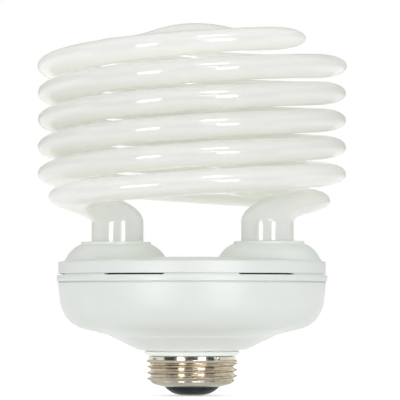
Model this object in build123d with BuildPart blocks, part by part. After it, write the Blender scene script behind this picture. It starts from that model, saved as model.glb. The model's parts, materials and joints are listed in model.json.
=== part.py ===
from build123d import *
from math import atan, cos, pi, radians, sin, tan
import os

# Spiral fluorescent lamp with a screw cap, in millimetres.
# The lamp stands on its end contact: origin at the contact's tip, +Z up the lamp's axis.

# Fits
FIT = 0.1
SLIDE_FIT = 0.3

# Screw cap
CONTACT_RADIUS = 3.5
CONTACT_THICKNESS = 0.45
CONTACT_ROUND = 0.27
CONTACT_STEM_RADIUS = 1.2
CONTACT_STEM_RISE = 1.0
INSULATOR_LAND = 0.5
INSULATOR_RECESS = 0.15
INSULATOR_FLANGE = 2.0
INSULATOR_FLANGE_HEIGHT = 1.0
INSULATOR_BULGE = 6.5
CAP_END_HEIGHT = 2.5
CAP_MOUTH_RADIUS = 7.9
CAP_SHOULDER_RADIUS = 11.0
CAP_SHOULDER_RISE = 0.5
CAP_CREST_RADIUS = 13.2
CAP_TAPER_HEIGHT = 1.6
CAP_THREAD_HEIGHT = 5.2
CAP_BAND_RADIUS = 12.8
CAP_BAND_HEIGHT = 1.75
CAP_WALL = 0.35

# Lower housing
HOUSING_WALL = 1.5
SPIGOT_RADIUS = 11.5
SPIGOT_DEPTH = 6.0
COLLAR_FOOT_RADIUS = 13.3
COLLAR_RADIUS = 14.0
COLLAR_HEIGHT = 1.45
CONE_FOOT_RADIUS = 15.7
CONE_STEP = 0.1
CONE_RADIUS = 24.2
CONE_HEIGHT = 4.3
BOWL_RISE = 3.25
BOWL_ROUND = 8.8
RIM_RADIUS = 38.6
SIDE_HEIGHT = 11.85
SIDE_DRAFT = 1.4
LEDGE_COUNT = 6
LEDGE_WIDTH = 2.4
LEDGE_HEIGHT = 3.6
LEDGE_TIP = 1.2
LEDGE_OVERLAP = 2.0

# Clip ring
RING_PROUD = 0.3
RING_HEIGHT = 2.2
RING_TONGUE_WALL = 1.3
RING_TONGUE_DEPTH = 1.8
SEAM = 0.3
SEAM_DEPTH = 0.7
SLOT_COUNT = 6
SLOT_ANGLE = 27.0
SLOT_HEIGHT = 0.5
SLOT_START_ANGLE = 4.6
TAB_ANGLE = 2.2

# Top cover
COVER_INSET = 0.1
COVER_HEIGHT = 4.9
COVER_ROUND = 1.9
COVER_WALL = 1.5
BOSS_OUTSET = 0.45
BOSS_HEIGHT = 4.4
BOSS_SHOULDER = 4.2
BOSS_LIP_HEIGHT = 0.7
BOSS_DOME = 7.75
BOSS_WALL = 1.2
CEMENT_WALL = 1.4

# Glass tube: round legs, turns pressed to an oval
TUBE_WIDTH = 15.0
TUBE_HEIGHT = 6.8
TURN_GAP = 0.98
COIL_RADIUS = 36.9
COIL_START_ANGLE = 80.0
COIL_SWEEP_ANGLE = 775.0
LEG_OFFSET = 21.6
LEG_SETBACK = 6.0
LEG_RISE = 5.6
ELBOW_RISE = 6.15
ELBOW_LIFT = 16.9
ELBOW_REACH = 50.5
CROWN_ANGLE = -72.0
CROWN_DRAW_IN = 2.1
CROWN_RISE = 6.9
CROWN_REACH = 39.0
CROWN_CLIMB_ANGLE = 10.65
BRIDGE_ANGLE = -32.0
BRIDGE_HALF_SPAN = 19.0
BRIDGE_FOOT_RISE = 1.0
BRIDGE_CLIMB_ANGLE = 6.84
BRIDGE_ARCH = 3.1
BRIDGE_BEND = 22.0
BRIDGE_LEAD = 11.0
ARCH_FOOT = 9.5
ARCH_CROWN = 7.5

# Ballast
BOARD_GAP = 1.15
BOARD_THICKNESS = 1.6
PIN_SIZE = 0.9
PIN_HEIGHT = 4.4
PIN_SPREAD = 2.6
PIN_INSET = 2.2
LAMP_LEAD_RADIUS = 0.3
LAMP_LEAD_BEND = 0.6
CAP_LEAD_RADIUS = 0.45
CAP_LEAD_BEND = 1.5
CAP_LEAD_OFFSET = 7.4
BULK_RADIUS = 5.0
BULK_LENGTH = 17.5
BULK_CRIMP = 1.6
BULK_CRIMP_DEPTH = 0.4
CHOKE_PLACE = (-17.2, 3.0)
CHOKE_CORE_SIZE = (17.0, 12.5, 5.0)
CHOKE_LEG = 6.0
CHOKE_YOKE = 2.6
CHOKE_WINDING_HEIGHT = 8.0
CHOKE_WINDING_WALL = 3.0
CHOKE_WINDING_ROUND = 1.2
DRIVE_PLACE = (12.5, -18.8)
DRIVE_RADIUS = 5.0
DRIVE_BORE = 2.5
DRIVE_HEIGHT = 4.0
DRIVE_WINDING = 0.6
DRIVE_WINDING_ANGLE = 50.0
DRIVE_WINDING_COUNT = 3
TRANSISTOR_PLACES = ((4.0, 19.0), (-7.0, 19.0))
TRANSISTOR_SIZE = (8.0, 2.8, 8.6)
TRANSISTOR_LEG = 0.7
TRANSISTOR_LEG_PITCH = 2.3
TRANSISTOR_STANDOFF = 1.0
START_CAPACITOR_PLACE = (19.0, 9.0)
START_CAPACITOR_SIZE = (12.0, 5.5, 7.0)
FILM_PLACES = ((24.0, -1.0), (-14.0, -18.0), (-4.0, -22.0))
FILM_SIZE = (7.2, 3.5, 7.0)
FILM_ROUND = 0.8
DIODE_PLACES = ((-4.5, -9.5), (4.5, -9.5), (-4.5, -13.0), (4.5, -13.0))
DIODE_RADIUS = 1.35
DIODE_LENGTH = 5.0
DIODE_WIRE_RADIUS = 0.4
DIODE_WIRE_REACH = 1.2
FILTER_PLACE = (-16.5, 16.0)
FILTER_RADIUS = 4.6
FILTER_CORE_RADIUS = 2.0
FILTER_HEIGHT = 7.0
FILTER_FLANGE = 1.2
FUSE_PLACE = (15.5, -8.5)
FUSE_RADIUS = 1.7
FUSE_LENGTH = 7.5
RESISTOR_PLACES = ((14.5, 1.5), (-8.5, 12.5), (13.0, 15.0), (-20.0, -9.5))
RESISTOR_RADIUS = 0.95
RESISTOR_LENGTH = 3.4

# Heights of the stack, from the contact's tip upwards
cap_shoulder_z = CAP_END_HEIGHT + CAP_SHOULDER_RISE
thread_z = cap_shoulder_z + CAP_TAPER_HEIGHT
band_z = thread_z + CAP_THREAD_HEIGHT
cap_top_z = band_z + CAP_BAND_HEIGHT
collar_z = cap_top_z + COLLAR_HEIGHT
cone_z = collar_z + CONE_STEP + CONE_HEIGHT
bowl_z = cone_z + BOWL_RISE
rim_z = bowl_z + SIDE_HEIGHT
ring_top_z = rim_z + SEAM + RING_HEIGHT
cover_top_z = ring_top_z + COVER_HEIGHT
cover_under_z = cover_top_z - COVER_WALL
boss_top_z = cover_top_z + BOSS_HEIGHT
leg_top_z = boss_top_z + LEG_RISE
coil_z = leg_top_z + ELBOW_RISE
board_top_z = rim_z - RING_TONGUE_DEPTH - SLIDE_FIT
board_under_z = board_top_z - BOARD_THICKNESS

# Radii that fit inside one another
bowl_radius = RIM_RADIUS - SIDE_DRAFT
side_slope = SIDE_DRAFT / SIDE_HEIGHT
rim_bore = RIM_RADIUS - HOUSING_WALL / cos(atan(side_slope))
ring_radius = RIM_RADIUS + RING_PROUD
cover_radius = RIM_RADIUS - COVER_INSET
board_radius = rim_bore - side_slope * (rim_z - board_under_z) - BOARD_GAP
tongue_radius = min(rim_bore - side_slope * RING_TONGUE_DEPTH, cover_radius - COVER_WALL) - FIT
tongue_bore = tongue_radius - RING_TONGUE_WALL
leg_radius = TUBE_WIDTH / 2
leg_centres = ((LEG_OFFSET, -LEG_SETBACK), (-LEG_OFFSET, LEG_SETBACK))
boss_offset = LEG_OFFSET + BOSS_OUTSET
boss_centres = ((boss_offset, -LEG_SETBACK), (-boss_offset, LEG_SETBACK))
well_radius = leg_radius + CEMENT_WALL
boss_lip_radius = well_radius + BOSS_WALL
boss_radius = boss_lip_radius + BOSS_SHOULDER
cap_floor_slope = CAP_SHOULDER_RISE / (CAP_SHOULDER_RADIUS - CAP_MOUTH_RADIUS)
cap_floor_lift = CAP_WALL / cos(atan(cap_floor_slope)) + FIT

HANGING = (Align.CENTER, Align.CENTER, Align.MAX)
STANDING = (Align.CENTER, Align.CENTER, Align.MIN)


def cap_floor(radius):
    """Height just above the inside of the screw shell's sloping end at a radius."""
    return CAP_END_HEIGHT + (radius - CAP_MOUTH_RADIUS) * cap_floor_slope + cap_floor_lift


def lay_wire(points, bend, radius):
    """Add a round wire along points to the open part, every bend of one radius."""
    with BuildLine() as route:
        FilletPolyline(*points, radius=bend)
    with BuildSketch(Plane(route.line @ 0, z_dir=route.line % 0)) as section:
        Circle(radius)
    sweep(section.sketch, path=route.line)


def lay_axial(place, radius, length, wire_radius, wire_reach):
    """Add a round body that lies along X under the board, with a wire up from each end."""
    x, y = place
    with Locations(Location((x, y, board_under_z - radius), (0, 90, 0))):
        Cylinder(radius, length)
    for end in (-1, 1):
        lead_x = x + end * (length / 2 + wire_reach)
        with Locations(Location((x + end * length / 2, y, board_under_z - radius), (0, end * 90, 0))):
            Cylinder(wire_radius, wire_reach, align=STANDING)
        with Locations((lead_x, y, board_under_z)):
            Cylinder(wire_radius, radius + wire_radius, align=HANGING)


# End contact: a flat rivet through the insulator
insulator_face_z = CONTACT_THICKNESS - INSULATOR_RECESS
flange_radius = CAP_MOUTH_RADIUS + INSULATOR_FLANGE
flange_top_z = cap_floor(flange_radius) + INSULATOR_FLANGE_HEIGHT
stem_top_z = flange_top_z + CONTACT_STEM_RISE

with BuildPart() as centre_contact:
    Cylinder(CONTACT_RADIUS, CONTACT_THICKNESS, align=STANDING)
    fillet(centre_contact.edges().group_by(Axis.Z)[0], CONTACT_ROUND)
    with Locations((0, 0, CONTACT_THICKNESS)):
        Cylinder(CONTACT_STEM_RADIUS, stem_top_z - CONTACT_THICKNESS, align=STANDING)
centre_contact.part.label = "centre_contact"

# Insulator: a black dome that fills the shell's mouth and keys behind its edge
neck_radius = CAP_MOUTH_RADIUS - FIT
stem_hole = CONTACT_STEM_RADIUS + FIT
seat_radius = CONTACT_RADIUS + FIT

with BuildPart() as cap_insulator:
    with BuildSketch(Plane.XZ):
        with BuildLine():
            Polyline(
                (stem_hole, CONTACT_THICKNESS),
                (seat_radius, CONTACT_THICKNESS),
                (seat_radius, insulator_face_z),
                (seat_radius + INSULATOR_LAND, insulator_face_z),
            )
            RadiusArc(
                (seat_radius + INSULATOR_LAND, insulator_face_z),
                (neck_radius, CAP_END_HEIGHT),
                -INSULATOR_BULGE,
            )
            Polyline(
                (neck_radius, CAP_END_HEIGHT),
                (neck_radius, cap_floor(neck_radius)),
                (flange_radius, cap_floor(flange_radius)),
                (flange_radius, flange_top_z),
                (stem_hole, flange_top_z),
                (stem_hole, CONTACT_THICKNESS),
            )
        make_face()
    revolve(axis=Axis.Z)
cap_insulator.part.label = "cap_insulator"

# Screw shell: drawn sheet, its wall at the height of the thread's crests
with BuildPart() as screw_shell:
    with BuildSketch(Plane.XZ):
        with BuildLine():
            Polyline(
                (CAP_MOUTH_RADIUS, CAP_END_HEIGHT),
                (CAP_SHOULDER_RADIUS, cap_shoulder_z),
                (CAP_CREST_RADIUS, thread_z),
                (CAP_CREST_RADIUS, band_z),
                (CAP_BAND_RADIUS, band_z + CAP_CREST_RADIUS - CAP_BAND_RADIUS),
                (CAP_BAND_RADIUS, cap_top_z),
            )
            offset(amount=CAP_WALL, side=Side.LEFT)
        make_face()
    revolve(axis=Axis.Z)
screw_shell.part.label = "screw_shell"

# Lower housing: collar, cone and bowl of one wall, with a spigot inside the screw shell
with BuildPart() as lower_housing:
    with BuildSketch(Plane.XZ):
        with BuildLine() as outline:
            Polyline(
                (COLLAR_RADIUS, collar_z),
                (CONE_FOOT_RADIUS, collar_z + CONE_STEP),
                (CONE_RADIUS, cone_z),
                (bowl_radius, bowl_z),
                (RIM_RADIUS, rim_z),
            )
            fillet(outline.vertices().sort_by(Axis.Y)[-2], BOWL_ROUND)
            offset(amount=HOUSING_WALL, side=Side.LEFT)
        make_face()
    revolve(axis=Axis.Z)
    with BuildSketch(Plane.XZ):
        with BuildLine():
            Polyline(
                (SPIGOT_RADIUS - HOUSING_WALL, cap_top_z - SPIGOT_DEPTH),
                (SPIGOT_RADIUS, cap_top_z - SPIGOT_DEPTH),
                (SPIGOT_RADIUS, cap_top_z),
                (COLLAR_FOOT_RADIUS, cap_top_z),
                (COLLAR_RADIUS, collar_z),
                (COLLAR_RADIUS + HOUSING_WALL / 2, collar_z + HOUSING_WALL),
                (SPIGOT_RADIUS - HOUSING_WALL, collar_z + HOUSING_WALL),
                close=True,
            )
        make_face()
    revolve(axis=Axis.Z)
    split(bisect_by=Plane.XY.offset(rim_z), keep=Keep.BOTTOM)
    ledge_bore = board_radius - LEDGE_OVERLAP
    ledge_wall = RIM_RADIUS - side_slope * (rim_z - board_under_z + LEDGE_HEIGHT) - HOUSING_WALL / 2
    with BuildSketch(Plane.XZ, mode=Mode.PRIVATE) as ledge:
        with BuildLine():
            Polyline(
                (ledge_bore, board_under_z),
                (ledge_wall, board_under_z),
                (ledge_wall, board_under_z - LEDGE_HEIGHT),
                (ledge_bore, board_under_z - LEDGE_TIP),
                close=True,
            )
        make_face()
    ledge_tab = extrude(ledge.sketch, LEDGE_WIDTH / 2, both=True, mode=Mode.PRIVATE)
    with PolarLocations(0, LEDGE_COUNT):
        add(ledge_tab)
lower_housing.part.label = "lower_housing"

# Clip ring: a band between two seams, on a tongue that laps into housing and cover
slot_floor_z = ring_top_z - SLOT_HEIGHT

with BuildPart() as clip_ring:
    with BuildSketch(Plane.XZ):
        with BuildLine():
            Polyline(
                (tongue_bore, rim_z - RING_TONGUE_DEPTH),
                (tongue_radius, rim_z - RING_TONGUE_DEPTH),
                (tongue_radius, rim_z + SEAM),
                (ring_radius, rim_z + SEAM),
                (ring_radius, ring_top_z - SEAM),
                (ring_radius - SEAM_DEPTH, ring_top_z - SEAM),
                (ring_radius - SEAM_DEPTH, ring_top_z),
                (tongue_radius, ring_top_z),
                (tongue_radius, ring_top_z + RING_TONGUE_DEPTH),
                (tongue_bore, ring_top_z + RING_TONGUE_DEPTH),
                close=True,
            )
        make_face()
    revolve(axis=Axis.Z)
    with BuildSketch(Plane.XZ, mode=Mode.PRIVATE) as slot_section:
        with Locations((tongue_bore - SEAM, slot_floor_z)):
            Rectangle(ring_radius - tongue_bore + 2 * SEAM, SLOT_HEIGHT, align=Align.MIN)
    slot = revolve(slot_section.sketch, Axis.Z, SLOT_ANGLE, mode=Mode.PRIVATE)
    with PolarLocations(0, SLOT_COUNT, start_angle=SLOT_START_ANGLE - SLOT_ANGLE / 2):
        add(slot, mode=Mode.SUBTRACT)
    with BuildSketch(Plane.XZ, mode=Mode.PRIVATE) as tab_section:
        with Locations((tongue_radius, rim_z)):
            Rectangle(RIM_RADIUS - tongue_radius, SEAM, align=Align.MIN)
    tab = revolve(tab_section.sketch, Axis.Z, TAB_ANGLE, mode=Mode.PRIVATE)
    with PolarLocations(0, SLOT_COUNT, start_angle=SLOT_START_ANGLE - TAB_ANGLE / 2):
        add(tab)
clip_ring.part.label = "clip_ring"

# Boss: the domed seat of one leg, drawn about its own axis, a little outside the leg's
with BuildPart() as boss:
    with BuildSketch(Plane.XZ):
        with BuildLine():
            Line((0, cover_under_z), (boss_radius, cover_under_z))
            Line((boss_radius, cover_under_z), (boss_radius, cover_top_z))
            RadiusArc(
                (boss_radius, cover_top_z),
                (boss_lip_radius, boss_top_z - BOSS_LIP_HEIGHT),
                -BOSS_DOME,
            )
            Polyline(
                (boss_lip_radius, boss_top_z - BOSS_LIP_HEIGHT),
                (boss_lip_radius, boss_top_z),
                (0, boss_top_z),
                (0, cover_under_z),
            )
        make_face()
    revolve(axis=Axis.Z)

# Top cover: a shallow lid with two bosses, each hollow below for the potting
with BuildPart() as top_cover:
    with Locations((0, 0, ring_top_z)):
        Cylinder(cover_radius, COVER_HEIGHT, align=STANDING)
    fillet(top_cover.edges().group_by(Axis.Z)[-1], COVER_ROUND)
    offset(amount=-COVER_WALL, openings=top_cover.faces().sort_by(Axis.Z)[0])
    with Locations(*boss_centres):
        add(boss.part)
    with Locations(*[(x, y, cover_under_z) for x, y in boss_centres]):
        Cylinder(well_radius, boss_top_z - BOSS_WALL - cover_under_z, align=STANDING, mode=Mode.SUBTRACT)
    with Locations(*[(x, y, cover_under_z) for x, y in leg_centres]):
        Cylinder(leg_radius + SLIDE_FIT, boss_top_z - cover_under_z, align=STANDING, mode=Mode.SUBTRACT)
top_cover.part.label = "top_cover"

# Potting: a collar of cement round each leg, inside the boss
with BuildPart() as leg_cement:
    with Locations(*[(x, y, cover_under_z) for x, y in boss_centres]):
        Cylinder(well_radius - FIT, boss_top_z - BOSS_WALL - FIT - cover_under_z, align=STANDING)
    with Locations(*[(x, y, cover_under_z) for x, y in leg_centres]):
        Cylinder(leg_radius + FIT, boss_top_z - cover_under_z, align=STANDING, mode=Mode.SUBTRACT)
leg_cement.part.label = "leg_cement"

# Glass tube: one arm is drawn round, at heights stretched by the oval's ratio, then turned half
# a turn about the axis for the other arm, and the whole pressed back to its oval height
flatness = TUBE_HEIGHT / TUBE_WIDTH
coil_rise = 2 * (TUBE_HEIGHT + TURN_GAP)
coil_slope = coil_rise / flatness / (2 * pi * COIL_RADIUS)
coil_end_angle = COIL_START_ANGLE + COIL_SWEEP_ANGLE
crown_z = coil_z + coil_rise * coil_end_angle / 360 + CROWN_RISE
bridge_z = crown_z + BRIDGE_FOOT_RISE


def around(radius, azimuth, height):
    """Point at a radius and azimuth about the axis, at a height before the tube is pressed oval."""
    return Vector(radius * cos(radians(azimuth)), radius * sin(radians(azimuth)), height / flatness)


def climbing(azimuth, slope):
    """Direction square to the radius at an azimuth, anticlockwise, rising by a slope."""
    return Vector(-sin(radians(azimuth)), cos(radians(azimuth)), slope).normalized()


leg_foot = Vector(LEG_OFFSET, -LEG_SETBACK, cover_under_z / flatness)
leg_top = Vector(LEG_OFFSET, -LEG_SETBACK, leg_top_z / flatness)
coil_first = around(COIL_RADIUS, COIL_START_ANGLE, coil_z + coil_rise * COIL_START_ANGLE / 360)
coil_last = around(COIL_RADIUS, coil_end_angle, coil_z + coil_rise * coil_end_angle / 360)
crown = around(COIL_RADIUS - CROWN_DRAW_IN, CROWN_ANGLE, crown_z)
crown_way = climbing(CROWN_ANGLE, tan(radians(CROWN_CLIMB_ANGLE)))
bridge_foot = around(BRIDGE_HALF_SPAN, BRIDGE_ANGLE, bridge_z)
bridge_way = climbing(BRIDGE_ANGLE + 90, tan(radians(BRIDGE_CLIMB_ANGLE)))
bridge_top = around(0, 0, bridge_z + BRIDGE_ARCH)
bridge_level = climbing(BRIDGE_ANGLE + 90, 0)

with BuildPart() as tube_arm:
    with BuildLine():
        Line(leg_foot, leg_top)
        Bezier(
            leg_top,
            leg_top + Vector(0, 0, ELBOW_LIFT),
            coil_first - climbing(COIL_START_ANGLE, coil_slope) * ELBOW_REACH,
            coil_first,
        )
        turns = Helix(coil_rise / flatness, coil_last.Z - coil_first.Z, COIL_RADIUS, mode=Mode.PRIVATE)
        add(turns.rotate(Axis.Z, COIL_START_ANGLE).translate((0, 0, coil_first.Z)))
        Bezier(
            coil_last,
            coil_last + climbing(coil_end_angle, coil_slope) * CROWN_REACH,
            crown - crown_way * CROWN_REACH,
            crown,
        )
        Bezier(crown, crown + crown_way * BRIDGE_BEND, bridge_foot - bridge_way * BRIDGE_LEAD, bridge_foot)
        Bezier(
            bridge_foot,
            bridge_foot + bridge_way * ARCH_FOOT,
            bridge_top - bridge_level * ARCH_CROWN,
            bridge_top,
        )
    with BuildSketch(Plane(leg_foot)):
        Circle(TUBE_WIDTH / 2)
    sweep()

with BuildPart() as spiral_tube:
    with PolarLocations(0, 2):
        add(tube_arm.part)
    scale(by=(1, 1, flatness), about=(0, 0, 0))
spiral_tube.part.label = "spiral_tube"

# Circuit board, on the housing's ledges and under the ring's tongue
with BuildPart() as circuit_board:
    with Locations((0, 0, board_under_z)):
        Cylinder(board_radius, BOARD_THICKNESS, align=STANDING)
circuit_board.part.label = "circuit_board"

# Wrap pins: two on the board beside each leg, with a filament lead down to each
pin_top_z = board_top_z + PIN_HEIGHT
lead_step = (cover_under_z - pin_top_z) / 4

with BuildPart() as wrap_pins:
    for x, y in leg_centres:
        pin_x = x - PIN_INSET if x > 0 else x + PIN_INSET
        with Locations((pin_x, y - PIN_SPREAD, board_top_z), (pin_x, y + PIN_SPREAD, board_top_z)):
            Box(PIN_SIZE, PIN_SIZE, PIN_HEIGHT, align=STANDING)
wrap_pins.part.label = "wrap_pins"

with BuildPart() as lamp_leads:
    for x, y in leg_centres:
        pin_x = x - PIN_INSET if x > 0 else x + PIN_INSET
        for lead_y in (y - PIN_SPREAD, y + PIN_SPREAD):
            lay_wire(
                (
                    (x, lead_y, cover_under_z),
                    (x, lead_y, cover_under_z - lead_step),
                    (pin_x, lead_y, pin_top_z + lead_step),
                    (pin_x, lead_y, pin_top_z),
                ),
                LAMP_LEAD_BEND,
                LAMP_LEAD_RADIUS,
            )
lamp_leads.part.label = "lamp_leads"

# Leads to the cap: one to the end contact's stem, one to the inside of the screw shell
spigot_foot_z = cap_top_z - SPIGOT_DEPTH
bulk_foot_z = board_under_z - BULK_LENGTH
shell_lead_z = (flange_top_z + spigot_foot_z) / 2

with BuildPart() as contact_lead:
    lay_wire(
        (
            (0, 0, stem_top_z),
            (0, 0, (stem_top_z + bulk_foot_z) / 2 - CAP_LEAD_BEND),
            (CAP_LEAD_OFFSET, 0, bulk_foot_z - CAP_LEAD_BEND),
            (CAP_LEAD_OFFSET, 0, board_under_z),
        ),
        CAP_LEAD_BEND,
        CAP_LEAD_RADIUS,
    )
contact_lead.part.label = "contact_lead"

with BuildPart() as shell_lead:
    lay_wire(
        (
            (-CAP_LEAD_OFFSET, 0, board_under_z),
            (-CAP_LEAD_OFFSET, 0, shell_lead_z),
            (FIT + CAP_WALL - CAP_BAND_RADIUS, 0, shell_lead_z),
        ),
        CAP_LEAD_BEND,
        CAP_LEAD_RADIUS,
    )
shell_lead.part.label = "shell_lead"

# Bulk capacitor, hanging from the board into the neck
with BuildPart() as bulk_capacitor:
    with Locations((0, 0, board_under_z)):
        Cylinder(BULK_RADIUS, BULK_LENGTH, align=HANGING)
    fillet(bulk_capacitor.edges().group_by(Axis.Z)[0], BULK_CRIMP_DEPTH)
    with Locations((0, 0, board_under_z - BULK_CRIMP)):
        Torus(BULK_RADIUS + BULK_CRIMP_DEPTH / 2, BULK_CRIMP_DEPTH, mode=Mode.SUBTRACT)
bulk_capacitor.part.label = "bulk_capacitor"

# Ballast choke: a double-E core with its winding round the middle leg
core_x, core_y, core_z = CHOKE_CORE_SIZE
window_x = CHOKE_WINDING_WALL + 2 * FIT
window_y = core_y - 2 * CHOKE_YOKE
choke_mid = (*CHOKE_PLACE, board_under_z - CHOKE_WINDING_HEIGHT / 2)
winding_bore = CHOKE_LEG + 2 * FIT

with BuildPart() as choke_core:
    with Locations(choke_mid):
        Box(core_x, core_y, core_z)
        with Locations(((CHOKE_LEG + window_x) / 2, 0), (-(CHOKE_LEG + window_x) / 2, 0)):
            Box(window_x, window_y, core_z, mode=Mode.SUBTRACT)
choke_core.part.label = "choke_core"

with BuildPart() as choke_winding:
    with Locations(choke_mid):
        Box(winding_bore + 2 * CHOKE_WINDING_WALL, window_y - 2 * FIT, CHOKE_WINDING_HEIGHT)
    fillet(choke_winding.edges().filter_by(Axis.Y), CHOKE_WINDING_ROUND)
    with Locations(choke_mid):
        Box(winding_bore, window_y, core_z + 2 * FIT, mode=Mode.SUBTRACT)
choke_winding.part.label = "choke_winding"

# Drive transformer: a ferrite ring inside three short windings
drive_mid = (*DRIVE_PLACE, board_under_z - DRIVE_WINDING - DRIVE_HEIGHT / 2)
drive_middle_radius = (DRIVE_RADIUS + DRIVE_BORE) / 2
drive_section = DRIVE_RADIUS - DRIVE_BORE

with BuildPart() as drive_ring:
    with Locations(drive_mid):
        Cylinder(DRIVE_RADIUS, DRIVE_HEIGHT)
        Cylinder(DRIVE_BORE, DRIVE_HEIGHT, mode=Mode.SUBTRACT)
drive_ring.part.label = "drive_ring"

with BuildPart() as drive_windings:
    with BuildSketch(Plane.XZ, mode=Mode.PRIVATE) as winding_section:
        with Locations((drive_middle_radius, 0)):
            Rectangle(drive_section + 2 * DRIVE_WINDING, DRIVE_HEIGHT + 2 * DRIVE_WINDING)
            Rectangle(drive_section + 2 * FIT, DRIVE_HEIGHT + 2 * FIT, mode=Mode.SUBTRACT)
    winding = revolve(winding_section.sketch, Axis.Z, DRIVE_WINDING_ANGLE, mode=Mode.PRIVATE)
    with Locations(drive_mid):
        with PolarLocations(0, DRIVE_WINDING_COUNT):
            add(winding)
drive_windings.part.label = "drive_windings"

# Transistors, standing on their three legs
transistor_x, transistor_y, transistor_z = TRANSISTOR_SIZE

with BuildPart() as transistors:
    with Locations(*[(x, y, board_under_z - TRANSISTOR_STANDOFF) for x, y in TRANSISTOR_PLACES]):
        Box(transistor_x, transistor_y, transistor_z, align=HANGING)
    with Locations(*[(x, y, board_under_z) for x, y in TRANSISTOR_PLACES]):
        with GridLocations(TRANSISTOR_LEG_PITCH, 0, 3, 1):
            Box(TRANSISTOR_LEG, TRANSISTOR_LEG, TRANSISTOR_STANDOFF, align=HANGING)
transistors.part.label = "transistors"

# Capacitors, diodes, filter choke and resistors under the board
with BuildPart() as start_capacitor:
    with Locations((*START_CAPACITOR_PLACE, board_under_z)):
        Box(*START_CAPACITOR_SIZE, align=HANGING)
    fillet(start_capacitor.edges().filter_by(Axis.Z), FILM_ROUND)
start_capacitor.part.label = "start_capacitor"

with BuildPart() as film_capacitors:
    with Locations(*[(x, y, board_under_z) for x, y in FILM_PLACES]):
        Box(*FILM_SIZE, align=HANGING)
    fillet(film_capacitors.edges().filter_by(Axis.Z), FILM_ROUND)
film_capacitors.part.label = "film_capacitors"

with BuildPart() as rectifier_diodes:
    for place in DIODE_PLACES:
        lay_axial(place, DIODE_RADIUS, DIODE_LENGTH, DIODE_WIRE_RADIUS, DIODE_WIRE_REACH)
rectifier_diodes.part.label = "rectifier_diodes"

with BuildPart() as fuse_resistor:
    lay_axial(FUSE_PLACE, FUSE_RADIUS, FUSE_LENGTH, DIODE_WIRE_RADIUS, DIODE_WIRE_REACH)
fuse_resistor.part.label = "fuse_resistor"

with BuildPart() as small_resistors:
    for place in RESISTOR_PLACES:
        lay_axial(place, RESISTOR_RADIUS, RESISTOR_LENGTH, DIODE_WIRE_RADIUS, DIODE_WIRE_REACH)
small_resistors.part.label = "small_resistors"

filter_waist = FILTER_HEIGHT - 2 * FILTER_FLANGE

with BuildPart() as filter_core:
    with Locations((*FILTER_PLACE, board_under_z)):
        Cylinder(FILTER_RADIUS, FILTER_FLANGE, align=HANGING)
        Cylinder(FILTER_CORE_RADIUS, FILTER_HEIGHT, align=HANGING)
    with Locations((*FILTER_PLACE, board_under_z - FILTER_HEIGHT)):
        Cylinder(FILTER_RADIUS, FILTER_FLANGE, align=STANDING)
filter_core.part.label = "filter_core"

with BuildPart() as filter_winding:
    with Locations((*FILTER_PLACE, board_under_z - FILTER_HEIGHT / 2)):
        Cylinder(FILTER_RADIUS - SLIDE_FIT, filter_waist - 2 * FIT)
        Cylinder(FILTER_CORE_RADIUS + FIT, filter_waist, mode=Mode.SUBTRACT)
filter_winding.part.label = "filter_winding"

os.makedirs("parts", exist_ok=True)
export_step(centre_contact.part, "parts/centre_contact.step")
export_step(cap_insulator.part, "parts/cap_insulator.step")
export_step(screw_shell.part, "parts/screw_shell.step")
export_step(lower_housing.part, "parts/lower_housing.step")
export_step(clip_ring.part, "parts/clip_ring.step")
export_step(top_cover.part, "parts/top_cover.step")
export_step(leg_cement.part, "parts/leg_cement.step")
export_step(spiral_tube.part, "parts/spiral_tube.step")
export_step(circuit_board.part, "parts/circuit_board.step")
export_step(wrap_pins.part, "parts/wrap_pins.step")
export_step(lamp_leads.part, "parts/lamp_leads.step")
export_step(contact_lead.part, "parts/contact_lead.step")
export_step(shell_lead.part, "parts/shell_lead.step")
export_step(bulk_capacitor.part, "parts/bulk_capacitor.step")
export_step(choke_core.part, "parts/choke_core.step")
export_step(choke_winding.part, "parts/choke_winding.step")
export_step(drive_ring.part, "parts/drive_ring.step")
export_step(drive_windings.part, "parts/drive_windings.step")
export_step(transistors.part, "parts/transistors.step")
export_step(start_capacitor.part, "parts/start_capacitor.step")
export_step(film_capacitors.part, "parts/film_capacitors.step")
export_step(rectifier_diodes.part, "parts/rectifier_diodes.step")
export_step(fuse_resistor.part, "parts/fuse_resistor.step")
export_step(small_resistors.part, "parts/small_resistors.step")
export_step(filter_core.part, "parts/filter_core.step")
export_step(filter_winding.part, "parts/filter_winding.step")
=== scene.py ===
import json
from math import radians

import bmesh
import bpy
import numpy as np
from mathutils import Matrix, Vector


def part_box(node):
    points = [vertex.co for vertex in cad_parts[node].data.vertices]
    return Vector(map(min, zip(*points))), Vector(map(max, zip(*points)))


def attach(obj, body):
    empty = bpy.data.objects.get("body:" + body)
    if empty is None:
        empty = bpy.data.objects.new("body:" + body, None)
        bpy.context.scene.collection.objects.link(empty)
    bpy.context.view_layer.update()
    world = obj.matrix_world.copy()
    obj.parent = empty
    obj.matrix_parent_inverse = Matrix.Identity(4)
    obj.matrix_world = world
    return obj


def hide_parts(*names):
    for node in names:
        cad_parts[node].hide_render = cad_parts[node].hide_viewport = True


# Spiral fluorescent lamp with a screw cap. Shapes are worked out about the lamp's axis, with lengths in
# millimetres and angles in degrees. The stage below is in metres.
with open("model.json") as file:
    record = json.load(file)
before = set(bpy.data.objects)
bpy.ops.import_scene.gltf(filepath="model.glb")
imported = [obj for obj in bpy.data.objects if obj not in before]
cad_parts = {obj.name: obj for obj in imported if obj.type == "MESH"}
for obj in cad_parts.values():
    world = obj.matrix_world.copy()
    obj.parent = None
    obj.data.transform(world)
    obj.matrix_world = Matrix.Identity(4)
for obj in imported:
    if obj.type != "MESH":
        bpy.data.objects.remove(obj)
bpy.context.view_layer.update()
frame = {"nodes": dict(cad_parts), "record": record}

MM = 0.001
TURN = 2 * np.pi


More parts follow.
